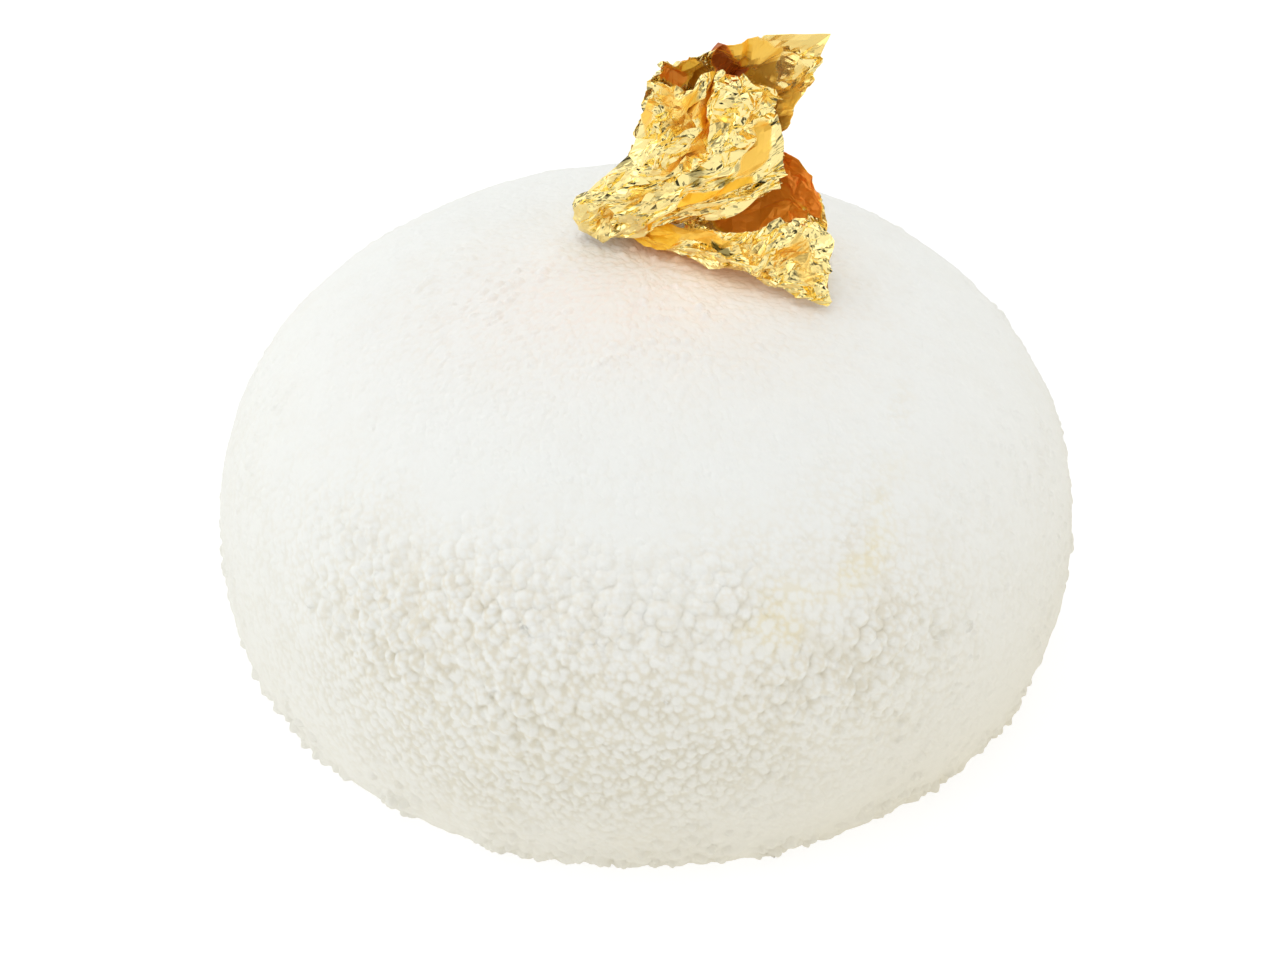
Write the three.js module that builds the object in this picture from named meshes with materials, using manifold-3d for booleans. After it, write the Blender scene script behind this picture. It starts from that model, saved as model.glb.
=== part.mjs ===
// An individual dome-shaped mousse cake under a grainy white velvet coat, with one crumpled leaf of
// gold standing on its crown. Millimetres, +Z up, the origin at the middle of the flat base.
import * as THREE from "three";
import { mergeVertices } from "three/addons/utils/BufferGeometryUtils.js";
import Module from "manifold-3d";

const wasm = await Module();
wasm.setup();

// The cake: widest above its base, domed over the top and drawn in a little towards the base.
const CAKE_RADIUS = 35;
const WIDEST_HEIGHT = 10.8;
const DOME_RISE = 23.7;
const DOME_FULLNESS = 2.27;
const UNDERCUT_DEPTH = 20.5;
const UNDERCUT_FULLNESS = 2.57;
const CAKE_DETAIL = 21;

// The velvet coat: frozen droplets, and under them the slow swells of the hand-smoothed mousse.
const GRAIN_RELIEF = 0.3;
const SWELL_RELIEF = 0.22;
const SWELL_LENGTH = 9;

// The gold leaf, drawn thicker than the real one so that it is a solid.
const LEAF_THICKNESS = 0.5;
const LEAF_CELL = 1.25;
const LEAF_CRUMPLE = 0.42;
const LEAF_CLEARANCE = 0.3;

const WHITE_COAT = { color: 0xf3f2ec, roughness: 0.85, metalness: 0 };
const GOLD_LEAF = { color: 0xe6b23c, roughness: 0.25, metalness: 1 };

// Each lobe of the leaf is lofted through edge curves, from its foot to its crest, left to right.
const LOBES = {
  // The crumpled face towards the front, from the foot at its left up to the top of the pouch.
  front_curtain: [
    [[-5.4, 4.8, 34.8], [-3.4, 3.2, 35.0], [0.6, 2.8, 36.5], [5.4, 2.3, 38.2], [10.2, 3.6, 40.2]],
    [[-5.4, 5.0, 37.6], [-3.4, 3.0, 38.2], [0.8, 1.4, 39.0], [5.4, 1.0, 40.2], [10.6, 3.2, 41.8]],
    [[-1.7, 5.4, 41.0], [0.4, 3.0, 41.6], [3.6, 1.8, 42.2], [7.0, 1.9, 42.9], [10.7, 4.0, 43.8]],
    [[-0.2, 5.4, 45.4], [1.8, 3.5, 45.2], [4.4, 2.6, 45.8], [7.3, 2.9, 46.0], [10.2, 4.8, 45.6]],
    [[0.8, 5.2, 48.2], [2.9, 3.9, 48.0], [5.1, 4.2, 50.0], [7.2, 3.9, 49.3], [10.2, 5.2, 47.0]],
  ],
  // The back of the pouch, which rises into the curled tongue at the upper right.
  back_curtain: [
    [[-5.4, 4.9, 34.7], [-2.6, 7.4, 34.6], [2.6, 9.4, 34.4], [7.4, 9.0, 35.6], [10.6, 6.0, 39.2]],
    [[-1.7, 5.5, 41.0], [0.6, 7.8, 40.6], [4.0, 9.0, 41.0], [8.2, 8.0, 41.9], [10.5, 4.8, 43.4]],
    [[-0.2, 5.5, 45.6], [1.9, 7.2, 45.8], [5.2, 8.2, 46.4], [9.2, 6.9, 47.1], [12.2, 4.4, 47.8]],
    [[0.7, 5.3, 49.9], [3.4, 6.2, 49.4], [6.2, 4.9, 51.8], [9.8, 5.4, 52.2], [14.2, 4.8, 52.7]],
  ],
  // The inner wall of the cup at the lower right, hollow towards the front.
  cup_wall: [
    [[2.7, 2.5, 34.9], [5.7, 1.5, 34.8], [8.7, 0.1, 34.5], [11.6, -1.4, 34.1], [14.1, -2.6, 33.4]],
    [[3.0, 5.2, 35.8], [6.2, 5.2, 35.8], [9.6, 4.4, 35.6], [12.6, 3.0, 35.2], [14.6, 0.8, 35.6]],
    [[3.4, 7.4, 38.6], [6.8, 7.7, 38.6], [10.2, 7.0, 38.6], [12.8, 5.2, 38.4], [14.1, 3.0, 37.5]],
    [[4.0, 8.4, 40.8], [7.2, 8.3, 41.2], [10.4, 6.8, 41.2], [12.6, 5.4, 39.9], [13.7, 3.8, 38.4]],
  ],
  // The flap in front of the cup, from under the hem to its corner lying on the cake.
  cup_flap: [
    [[-1.2, 3.4, 34.9], [2.6, 1.3, 34.9], [5.5, -0.3, 34.8], [8.5, -2.1, 34.6], [11.4, -3.5, 34.0],
     [14.1, -4.0, 33.3]],
    [[-1.2, 3.3, 35.6], [2.2, 1.0, 35.8], [5.5, -1.3, 35.8], [8.6, -2.5, 36.0], [11.6, -2.8, 36.5],
     [14.3, -2.4, 35.3]],
    [[-1.0, 3.9, 36.4], [2.3, 2.2, 37.0], [5.4, 0.9, 37.0], [8.5, 0.1, 37.5], [11.6, 0.3, 39.2],
     [14.4, 0.0, 37.2]],
  ],
  // The doubled hem that runs from the foot under the front curtain.
  hem_roll: [
    [[-3.0, 4.2, 35.1], [1.6, 3.4, 36.7], [5.8, 2.7, 38.3], [10.2, 3.9, 39.6]],
    [[-2.6, 3.0, 35.7], [1.8, 1.7, 37.6], [6.0, 1.0, 39.1], [10.4, 2.6, 40.3]],
    [[-2.8, 3.6, 36.7], [1.6, 2.5, 38.4], [5.8, 1.7, 39.9], [10.2, 3.4, 41.0]],
  ],
};

// A number from 0 to 1 that depends only on its three whole numbers.
function hash(a, b, c) {
  const s = Math.sin(a * 127.1 + b * 311.7 + c * 74.7) * 43758.5453;
  return s - Math.floor(s);
}

// Smooth noise from -1 to 1 with swells about one unit long.
function swell(p) {
  const cell = p.clone().floor();
  const f = p.clone().sub(cell);
  const ease = (t) => t * t * (3 - 2 * t);
  const at = (i, j, k) => hash(cell.x + i, cell.y + j + 0.5, cell.z + k + 0.25);
  const along = (j, k) => THREE.MathUtils.lerp(at(0, j, k), at(1, j, k), ease(f.x));
  const across = (k) => THREE.MathUtils.lerp(along(0, k), along(1, k), ease(f.y));
  return 2 * THREE.MathUtils.lerp(across(0), across(1), ease(f.z)) - 1;
}

// A closed mesh as a manifold-3d solid.
function solidOf(geometry) {
  const bare = new THREE.BufferGeometry();
  bare.setAttribute("position", geometry.getAttribute("position"));
  bare.setIndex(geometry.getIndex());
  const merged = mergeVertices(bare, 1e-4);
  return new wasm.Manifold(
    new wasm.Mesh({
      numProp: 3,
      vertProperties: merged.getAttribute("position").array,
      triVerts: new Uint32Array(merged.getIndex().array),
    }),
  );
}

// A manifold-3d solid as a named three.js mesh.
function meshOf(name, solid, finish) {
  const { vertProperties, triVerts } = solid.getMesh();
  const geometry = new THREE.BufferGeometry();
  geometry.setAttribute("position", new THREE.BufferAttribute(vertProperties, 3));
  geometry.setIndex(new THREE.BufferAttribute(triVerts, 1));
  geometry.computeVertexNormals();
  const mesh = new THREE.Mesh(geometry, new THREE.MeshStandardMaterial(finish));
  mesh.name = name;
  return mesh;
}

// Where a direction from the middle of the widest ring meets the cake, whose outline is a
// superellipse above that ring and another below it.
function cakePoint(direction) {
  const across = Math.hypot(direction.x, direction.y);
  const above = direction.z >= 0;
  const height = above ? DOME_RISE : UNDERCUT_DEPTH;
  const power = above ? DOME_FULLNESS : UNDERCUT_FULLNESS;
  const sum = Math.pow(across / CAKE_RADIUS, power) + Math.pow(Math.abs(direction.z) / height, power);
  const middle = new THREE.Vector3(0, 0, WIDEST_HEIGHT);
  return direction.clone().multiplyScalar(Math.pow(sum, -1 / power)).add(middle);
}

// The domed body with its coat's relief, closed below the base plane and raised by `lift`.
function domedBody(lift) {
  const ball = new THREE.IcosahedronGeometry(1, CAKE_DETAIL);
  ball.deleteAttribute("normal");
  ball.deleteAttribute("uv");
  const merged = mergeVertices(ball, 1e-4);
  const position = merged.getAttribute("position");
  for (let i = 0; i < position.count; i++) {
    // Squashed a little, so that the corners stand evenly over the flatter crown.
    const direction = new THREE.Vector3().fromBufferAttribute(position, i);
    direction.z *= DOME_RISE / CAKE_RADIUS;
    direction.normalize();
    const point = cakePoint(direction);
    const grain = GRAIN_RELIEF * (2 * hash(i, 1, 1) - 1);
    const slow = SWELL_RELIEF * swell(point.clone().divideScalar(SWELL_LENGTH));
    point.addScaledVector(direction, grain + slow);
    position.setXYZ(i, point.x, point.y, point.z + lift);
  }
  return solidOf(merged);
}

// Everything below the base plane.
function belowTheBase() {
  const side = 4 * CAKE_RADIUS;
  const block = new THREE.BoxGeometry(side, side, side);
  block.translate(0, 0, -side / 2);
  block.deleteAttribute("normal");
  block.deleteAttribute("uv");
  return solidOf(block);
}

// The surface lofted through a lobe's edge curves, as a function of u along them and v across them.
function loft(curves) {
  const edges = curves.map((edge) => new THREE.CatmullRomCurve3(edge.map((p) => new THREE.Vector3(...p))));
  return (u, v) => new THREE.CatmullRomCurve3(edges.map((edge) => edge.getPoint(u))).getPoint(v);
}

// A thin sheet that follows a surface, creased at every corner of its grid. Both faces share the
// same corners and the same split into triangles, half a thickness to each side.
function crumpledSheet(surface, seed) {
  const long = (from, to) => surface(...from).distanceTo(surface(...to));
  const columns = Math.round((long([0, 0.5], [0.5, 0.5]) + long([0.5, 0.5], [1, 0.5])) / LEAF_CELL);
  const rows = Math.round((long([0.5, 0], [0.5, 0.5]) + long([0.5, 0.5], [0.5, 1])) / LEAF_CELL);
  const step = 0.01;
  const front = [];
  const back = [];
  for (let j = 0; j <= rows; j++) {
    for (let i = 0; i <= columns; i++) {
      const [u, v] = [i / columns, j / rows];
      const alongU = surface(Math.min(u + step, 1), v).sub(surface(Math.max(u - step, 0), v));
      const alongV = surface(u, Math.min(v + step, 1)).sub(surface(u, Math.max(v - step, 0)));
      const normal = alongU.cross(alongV).normalize();
      const crease = LEAF_CRUMPLE * (2 * hash(i, j, seed) - 1);
      const middle = surface(u, v).addScaledVector(normal, crease);
      front.push(middle.clone().addScaledVector(normal, LEAF_THICKNESS / 2));
      back.push(middle.clone().addScaledVector(normal, -LEAF_THICKNESS / 2));
    }
  }
  const corners = [...front, ...back];
  const triangles = [];
  const quad = (a, b, c, d) => triangles.push(a, b, c, a, c, d);
  const at = (i, j) => j * (columns + 1) + i;
  const under = front.length;
  for (let j = 0; j < rows; j++) {
    for (let i = 0; i < columns; i++) {
      const [a, b, c, d] = [at(i, j), at(i + 1, j), at(i + 1, j + 1), at(i, j + 1)];
      triangles.push(a, b, c, a, c, d);
      triangles.push(under + a, under + c, under + b, under + a, under + d, under + c);
    }
  }
  for (let i = 0; i < columns; i++) {
    quad(under + at(i, 0), under + at(i + 1, 0), at(i + 1, 0), at(i, 0));
    quad(at(i, rows), at(i + 1, rows), under + at(i + 1, rows), under + at(i, rows));
  }
  for (let j = 0; j < rows; j++) {
    quad(at(0, j), at(0, j + 1), under + at(0, j + 1), under + at(0, j));
    quad(under + at(columns, j), under + at(columns, j + 1), at(columns, j + 1), at(columns, j));
  }
  const geometry = new THREE.BufferGeometry().setFromPoints(corners);
  geometry.setIndex(triangles);
  return solidOf(geometry);
}

function makeCake() {
  return domedBody(0).subtract(belowTheBase());
}

// The largest closed shell of a solid, without loose slivers and without pockets sealed inside it.
function largestShell(solid) {
  const shells = solid.decompose();
  return shells.reduce((largest, shell) => (shell.volume() > largest.volume() ? shell : largest));
}

// The lobes fused into one leaf, cut back to stand just clear of the cake under it.
function makeGoldLeaf() {
  const sheets = Object.values(LOBES).map((curves, seed) => crumpledSheet(loft(curves), seed + 1));
  const leaf = sheets.reduce((whole, sheet) => whole.add(sheet));
  return largestShell(leaf.subtract(domedBody(LEAF_CLEARANCE)));
}

const torte = new THREE.Group();
torte.name = "velvet_mousse_torte";
torte.add(meshOf("mousse_cake", makeCake(), WHITE_COAT));
torte.add(meshOf("gold_leaf", makeGoldLeaf(), GOLD_LEAF));

export default torte;
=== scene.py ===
"""A single-serving dome-shaped mousse torte in a grainy white velvet coat, with a crumpled piece of
gold leaf standing on its crown. Lengths in the code are millimetres until a mesh is made."""
import math
from collections import namedtuple

import bpy
import numpy as np
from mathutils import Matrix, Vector


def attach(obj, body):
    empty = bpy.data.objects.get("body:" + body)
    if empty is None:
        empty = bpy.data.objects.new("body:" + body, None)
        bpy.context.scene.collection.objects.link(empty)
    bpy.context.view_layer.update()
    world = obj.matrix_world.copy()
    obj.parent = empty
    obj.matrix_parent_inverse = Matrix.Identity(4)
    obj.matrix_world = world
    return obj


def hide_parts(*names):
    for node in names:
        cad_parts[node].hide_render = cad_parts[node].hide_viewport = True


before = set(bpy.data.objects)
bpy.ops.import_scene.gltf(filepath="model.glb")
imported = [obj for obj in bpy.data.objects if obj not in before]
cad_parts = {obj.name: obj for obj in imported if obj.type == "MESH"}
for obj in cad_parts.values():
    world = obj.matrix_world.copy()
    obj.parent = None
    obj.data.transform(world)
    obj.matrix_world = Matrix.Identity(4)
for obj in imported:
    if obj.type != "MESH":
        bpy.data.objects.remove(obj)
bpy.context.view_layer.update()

bl_info = {
    "name": "Velvet Torte",
    "version": (1, 0, 0),
    "blender": (4, 5, 0),
    "location": "View3D > Sidebar > Torte",
    "description": "Makes a domed mousse torte with a grainy velvet coat and a crumpled gold leaf",
    "category": "Add Mesh",
}

MM = 0.001

# The cake's outline: a superellipse above its widest ring and another below it, cut flat.
WIDEST_HEIGHT = 10.8
DOME_RISE = 23.7
DOME_FULLNESS = 2.27
UNDERCUT_DEPTH = 20.5
UNDERCUT_FULLNESS = 2.57

# The camera stands in front of the torte and looks down on it.
PHOTO_SIZE = (1280, 960)
CAMERA_HEIGHT_ANGLE = math.radians(36.0)
CAMERA_DISTANCE = 350.0
PIXELS_PER_MM = 12.2
WIDEST_RING_PIXEL = (646.4, 508.3)
SENSOR_WIDTH = 36.0

# The coat's grid of rings and spokes, and the level slices that it is cut into. A share of the rings
# covers the first millimetres walked from the pole, and the others lie closer together below them.
COAT_RINGS = 420
COAT_SPOKES = 1520
SLICES = ("crown", "brow", "shoulder", "chest", "belly", "wall", "foot")
POLE_GAP = 0.09
CROWN_WALK = 22
CROWN_RING_SHARE = 0.27
FRONT_CROWDING = 0.22

# How far the outline is drawn in before the coat's relief, and how far the relief itself is sunk.
OUTLINE_INSET = 0.05
COAT_SINK = 0.34

# The coat's normals are mixed from those of its grid and those of the smooth outline.
GRID_SHADE, SMOOTH_SHADE = 0.85, 0.15

# The turns of the beads' lattice about x, y and z, so that its rows don't show.
LATTICE_TURNS = (0.7, 0.5, 0.4)

# The coat's beads by kind: the width of a cell of their lattice in millimetres and their seed, then, in
# cells, the radius of the smallest and how much the widest has more.
BEADS = {
    "clump": (1.1, 20, 0.5, 0.4),
    "bead": (0.76, 30, 0.4, 0.3),
    "fine": (0.5, 40, 0.42, 0.26),
    "stray": (1.9, 50, 0.12, 0.2),
    "crumb": (1.2, 60, 0.1, 0.35),
}

# The coat's swells by what they vary: their length in millimetres and their seed.
SWELLS = {
    "body": (9, 1),
    "dents": (2.6, 2),
    "spray": (6, 4),
    "foot": (4, 5),
    "crumbs": (3, 6),
    "level": (7, 7),
    "patch": (3, 8),
    "lone": (5, 9),
    "rim": (2.4, 10),
    "butter": (2.2, 12),
    "lumps": (3.5, 13),
}

# The coat's zones: a lowest and a highest height, and the distance over which each fades beyond them.
ZONES = {
    "spray": (14, 24, 6),
    "grain": (9, 21, 8),
    "coarse": (9, 22, 7),
    "lumps": (17, 23, 3),
    "lone": (-5, 22, 7),
}

# The cracked patch on the right: the height of its line, how steeply the line climbs beyond a bend, and
# where the patch begins and ends sideways and how softly.
CRACK_HEIGHT = 22.8
CRACK_CLIMB = 0.8
CRACK_BEND = 14
CRACK_SIDES = (9, 17.5, 4)

# The blush on the crown, where the warm light that the gold throws is painted: its middle and its reach,
# each sideways and from front to back.
BLUSH_MIDDLE = (-2, -3)
BLUSH_REACH = (16, 10)

# The leaf's light is painted only above this height.
PAINTED_ABOVE = 25

# Each lobe of the leaf is lofted through edge curves, from its foot to its crest, left to right.
FRONT_CURTAIN = [
    [[-5.4, 4.8, 34.8], [-3.4, 3.2, 35.0], [0.6, 2.8, 36.5], [5.4, 2.3, 38.2], [10.2, 3.6, 40.2]],
    [[-5.4, 5.0, 37.6], [-3.4, 3.0, 38.2], [0.8, 1.4, 39.0], [5.4, 1.0, 40.2], [10.6, 3.2, 41.8]],
    [[-1.7, 5.4, 41.0], [0.4, 3.0, 41.6], [3.6, 1.8, 42.2], [7.0, 1.9, 42.9], [10.7, 4.0, 43.8]],
    [[-0.2, 5.4, 45.4], [1.8, 3.5, 45.2], [4.4, 2.6, 45.8], [7.3, 2.9, 46.0], [10.2, 4.8, 45.6]],
    [[0.8, 5.2, 48.2], [2.9, 3.9, 48.0], [5.1, 4.2, 50.0], [7.2, 3.9, 49.3], [10.2, 5.2, 47.0]],
]
BACK_CURTAIN = [
    [[-5.4, 4.9, 34.7], [-2.6, 7.4, 34.6], [2.6, 9.4, 34.4], [7.4, 9.0, 35.6], [10.6, 6.0, 39.2]],
    [[-1.7, 5.5, 41.0], [0.6, 7.8, 40.6], [4.0, 9.0, 41.0], [8.2, 8.0, 41.9], [10.5, 4.8, 43.4]],
    [[-0.2, 5.5, 45.6], [1.9, 7.2, 45.8], [5.2, 8.2, 46.4], [9.2, 6.9, 47.1], [12.2, 4.4, 47.8]],
    [[0.7, 5.3, 49.9], [3.4, 6.2, 49.4], [6.2, 4.9, 51.8], [9.8, 5.4, 52.2], [14.2, 4.8, 52.7]],
]
CUP_WALL = [
    [[2.7, 2.5, 34.9], [5.7, 1.5, 34.8], [8.7, 0.1, 34.5], [11.6, -1.4, 34.1], [14.1, -2.6, 33.4]],
    [[3.0, 5.2, 35.8], [6.2, 5.2, 35.8], [9.6, 4.4, 35.6], [12.6, 3.0, 35.2], [14.6, 0.8, 35.6]],
    [[3.4, 7.4, 38.6], [6.8, 7.7, 38.6], [10.2, 7.0, 38.6], [12.8, 5.2, 38.4], [14.1, 3.0, 37.5]],
    [[4.0, 8.4, 40.8], [7.2, 8.3, 41.2], [10.4, 6.8, 41.2], [12.6, 5.4, 39.9], [13.7, 3.8, 38.4]],
]
CUP_FLAP = [
    [[-1.2, 3.4, 34.9], [2.6, 1.3, 34.9], [5.5, -0.3, 34.8], [8.5, -2.1, 34.6], [11.4, -3.5, 34.0],
     [14.1, -4.0, 33.3]],
    [[-1.2, 3.3, 35.6], [2.2, 1.0, 35.8], [5.5, -1.3, 35.8], [8.6, -2.5, 36.0], [11.6, -2.8, 36.5],
     [14.3, -2.4, 35.3]],
    [[-1.0, 3.9, 36.4], [2.3, 2.2, 37.0], [5.4, 0.9, 37.0], [8.5, 0.1, 37.5], [11.6, 0.3, 39.2],
     [14.4, 0.0, 37.2]],
]
HEM_ROLL = [
    [[-3.0, 4.2, 35.1], [1.6, 3.4, 36.7], [5.8, 2.7, 38.3], [10.2, 3.9, 39.6]],
    [[-2.6, 3.0, 35.7], [1.8, 1.7, 37.6], [6.0, 1.0, 39.1], [10.4, 2.6, 40.3]],
    [[-2.8, 3.6, 36.7], [1.6, 2.5, 38.4], [5.8, 1.7, 39.9], [10.2, 3.4, 41.0]],
]

# The line on the crown, in millimetres from the axis, along which the leaf throws its orange light.
GLOW_LINE = ((0.5, 4.2), (12.0, -3.0))
GLOW_REACH = 2.0

# How far the corners of the widest facets stand off the smooth lobe, and how far the points between
# them move each time the facets are halved.
FOLD_DEPTH = 1.1
CRUMPLE_DEPTHS = (0.50, 0.24, 0.07, 0.014)

# How far the corners of the widest facets stray from their even places, in shares of their spacing.
CORNER_STRAY = 0.3

# Marks on a lobe: panels that stayed smooth, grooves, bulges and deep pockets painted orange. Each runs
# between two places (u, v) on the lobe, and has a half width and a push along the normal in millimetres.
# Then come how smooth it is, from 0 to 1, and how warm, which is painted reflection of the gold in itself:
# amber at 0.5, an orange pocket at 1 and a red-brown painted shade beyond it, while a crease is painted
# dark from 0 to -1, as painted shade.
Mark = namedtuple("Mark", "start end half_width push smooth warm")
FRONT_MARKS = [
    Mark((0.50, 1.00), (0.50, 0.68), 0.6, -1.3, 0.5, 0.55),
    Mark((0.50, 0.66), (0.36, 0.50), 0.45, -0.8, 0.3, 0.35),
    Mark((0.72, 0.85), (0.74, 0.68), 2.2, 0.9, 0.0, 0.0),
    Mark((0.89, 0.62), (0.86, 0.42), 1.4, 0.2, 0.95, 0.40),
    Mark((0.98, 0.66), (0.97, 0.30), 0.7, 0.0, 0.9, 0.0),
    Mark((0.62, 0.44), (0.74, 0.42), 1.0, 0.4, 0.95, 0.0),
    Mark((0.53, 0.50), (0.60, 0.40), 0.45, -0.5, 0.9, -0.5),
    Mark((0.71, 0.40), (0.78, 0.34), 0.4, -0.5, 0.9, -0.5),
    Mark((0.62, 0.27), (0.84, 0.28), 0.75, 0.6, 1.0, 0.5),
    Mark((0.12, 0.92), (0.42, 0.84), 1.1, 0.0, 0.1, 0.3),
    Mark((0.02, 0.80), (0.06, 0.70), 0.8, 0.0, 0.6, 0.40),
    Mark((0.30, 0.93), (0.42, 0.85), 0.6, 0.0, 0.5, 0.45),
    Mark((0.02, 0.05), (0.15, 0.02), 1.0, 0.0, 0.8, 0.08),
    Mark((0.00, 0.25), (0.03, 0.62), 1.2, 0.0, 0.8, 0.0),
]
BACK_MARKS = [
    Mark((0.56, 0.94), (0.70, 0.86), 2.1, 0.8, 0.8, 0.42),
    Mark((0.60, 1.00), (0.62, 0.85), 0.4, -0.5, 0.3, 0.60),
    Mark((0.72, 0.85), (0.80, 0.55), 1.5, 0.0, 0.35, 0.40),
    Mark((0.48, 0.72), (0.72, 0.62), 1.6, 0.0, 0.2, 0.45),
    Mark((0.24, 0.94), (0.38, 0.75), 1.4, 0.0, 0.0, 0.48),
    Mark((0.86, 0.80), (0.96, 0.66), 1.2, 0.0, 0.3, 0.12),
    Mark((0.10, 0.92), (0.22, 0.84), 1.1, -0.8, 1.0, 0.9),
    Mark((0.46, 0.95), (0.59, 0.75), 1.15, -0.7, 0.9, 1.7),
    Mark((0.92, 0.62), (0.97, 0.35), 1.3, 0.0, 0.2, 0.40),
    Mark((0.80, 1.00), (1.00, 0.95), 1.5, 0.0, 0.9, 0.15),
]
WALL_MARKS = [
    Mark((0.50, 0.80), (0.88, 0.75), 2.5, 0.0, 0.45, 1.0),
    Mark((0.30, 0.45), (0.60, 0.40), 2.4, 0.0, 0.45, 0.9),
    Mark((1.00, 1.00), (1.00, 0.00), 0.5, 0.0, 0.5, 0.12),
]
FLAP_MARKS = [
    Mark((0.00, 0.10), (0.12, 0.90), 2.4, 0.0, 0.5, 0.50),
    Mark((0.25, 0.42), (0.31, 0.36), 0.9, 0.3, 1.0, 0.0),
    Mark((0.49, 0.48), (0.65, 0.44), 0.5, 0.3, 0.9, 0.0),
    Mark((0.84, 0.70), (0.88, 0.40), 1.0, 0.0, 0.6, 0.25),
    Mark((0.24, 0.88), (0.42, 0.82), 0.8, 0.0, 0.4, 0.42),
    Mark((0.385, 0.78), (0.435, 0.74), 0.42, -0.6, 0.8, -0.8),
]
HEM_MARKS = [
    Mark((0.03, 0.55), (0.16, 0.85), 0.3, -0.6, 0.4, -0.8),
    Mark((0.16, 0.85), (0.33, 0.95), 0.3, -0.6, 0.4, -0.7),
    Mark((0.33, 0.95), (0.60, 0.90), 0.25, -0.4, 0.4, -0.5),
    Mark((0.30, 0.85), (0.80, 0.80), 0.3, 0.5, 0.8, 0.0),
    Mark((0.45, 0.40), (0.95, 0.45), 0.3, -0.7, 0.3, 0.0),
]

# The lobes with their marks, and how much wider and taller than the leaf's own facet theirs are.
LOBES = (
    (FRONT_CURTAIN, FRONT_MARKS, (1.1, 0.8)),
    (BACK_CURTAIN, BACK_MARKS, (1, 1)),
    (CUP_WALL, WALL_MARKS, (1, 1)),
    (CUP_FLAP, FLAP_MARKS, (1.1, 0.7)),
    (HEM_ROLL, HEM_MARKS, (2.0, 0.35)),
)

# The soft lamps: their places in metres, sizes, powers and colours. All point at the middle of the cake.
LAMP_TARGET = (0, 0, 0.02)
LAMPS = (
    ("window", (-0.1, 0.25, 0.95), 1.4, 2.1, (1, 1, 1)),
    ("left_box", (-0.95, -0.2, 0.15), 0.7, 0.93, (0.82, 0.93, 1)),
    ("right_box", (0.95, -0.2, 0.15), 0.7, 0.68, (1, 1, 1)),
)
GOLD_GLOW_PLACE = (0.0045, -0.0025, 0.041)
GOLD_GLOW_POWER = 0.0003
FLOOR_SIDE = 4000.0


def linear(hex_colour):
    """The linear values of an sRGB colour written as six hex digits, with an alpha of one."""
    parts = [int(hex_colour[i:i + 2], 16) / 255 for i in (0, 2, 4)]
    return (*(c / 12.92 if c <= 0.04045 else ((c + 0.055) / 1.055) ** 2.4 for c in parts), 1.0)


class CakeSizes(bpy.types.PropertyGroup):
    """Sizes and colours of the cake and its coat."""
    radius: bpy.props.FloatProperty(
        name="Radius", description="Radius of the widest ring, coat included",
        default=0.035, unit="LENGTH")
    coat_colour: bpy.props.FloatVectorProperty(
        name="Coat", description="Colour of the tops of the droplets",
        default=linear("F7F8F4")[:3], min=0, max=1, subtype="COLOR")
    # The gaps' colour is partly the cocoa butter's own and partly painted shade between the droplets.
    gap_colour: bpy.props.FloatVectorProperty(
        name="Gaps", description="Colour between the droplets, where the cocoa butter shows",
        default=linear("EFE9DA")[:3], min=0, max=1, subtype="COLOR")
    # Painted shade: the gaps of the low wall, which turns from the light, take this darker, creamier
    # colour.
    low_shade_colour: bpy.props.FloatVectorProperty(
        name="Low gaps", description="Colour between the wall's droplets, where butter lies thicker",
        default=linear("E2DCC9")[:3], min=0, max=1, subtype="COLOR")
    butter_colour: bpy.props.FloatVectorProperty(
        name="Butter", description="Colour of the cracks on the right, where pure cocoa butter shows",
        default=linear("EEE0B2")[:3], min=0, max=1, subtype="COLOR")
    # Painted light: the warm light that the gold throws on the gaps beside the leaf, and on the tops by
    # less.
    gold_light_colour: bpy.props.FloatVectorProperty(
        name="Blush", description="Colour of the gaps beside the leaf, warmed by the gold",
        default=linear("FBF0E8")[:3], min=0, max=1, subtype="COLOR")
    glow_colour: bpy.props.FloatVectorProperty(
        name="Glow", description="Colour right under the leaf, where the gold throws its light",
        default=linear("FFBE7A")[:3], min=0, max=1, subtype="COLOR")


class LeafSizes(bpy.types.PropertyGroup):
    """Sizes and colours of the gold leaf."""
    thickness: bpy.props.FloatProperty(
        name="Thickness", description="Thickness of the leaf as drawn; the real one is far thinner",
        default=0.00005, unit="LENGTH")
    facet: bpy.props.FloatProperty(
        name="Facet", description="Width of the leaf's widest facets",
        default=0.0024, unit="LENGTH")
    gold_colour: bpy.props.FloatVectorProperty(
        name="Gold", description="Colour of the leaf seen straight on",
        default=(0.98, 0.805, 0.34), min=0, max=1, subtype="COLOR")
    # Painted reflection: the folds' and pockets' colours stand for the gold reflected in itself.
    fold_colour: bpy.props.FloatVectorProperty(
        name="Folds", description="Colour inside the folds, after a few reflections in the gold",
        default=(1.0, 0.56, 0.03), min=0, max=1, subtype="COLOR")
    pocket_colour: bpy.props.FloatVectorProperty(
        name="Pockets", description="Colour of the deepest pockets, after many reflections in the gold",
        default=(1.0, 0.30, 0.02), min=0, max=1, subtype="COLOR")
    # Painted shade: the bottom of the deepest fold is painted dark red-brown.
    deep_shade_colour: bpy.props.FloatVectorProperty(
        name="Depths", description="Colour at the bottom of the deepest fold of the crest",
        default=(0.30, 0.05, 0.01), min=0, max=1, subtype="COLOR")
    crease_colour: bpy.props.FloatVectorProperty(
        name="Creases", description="Colour inside the sharpest creases, which hardly any light leaves",
        default=(0.14, 0.10, 0.02), min=0, max=1, subtype="COLOR")


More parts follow.
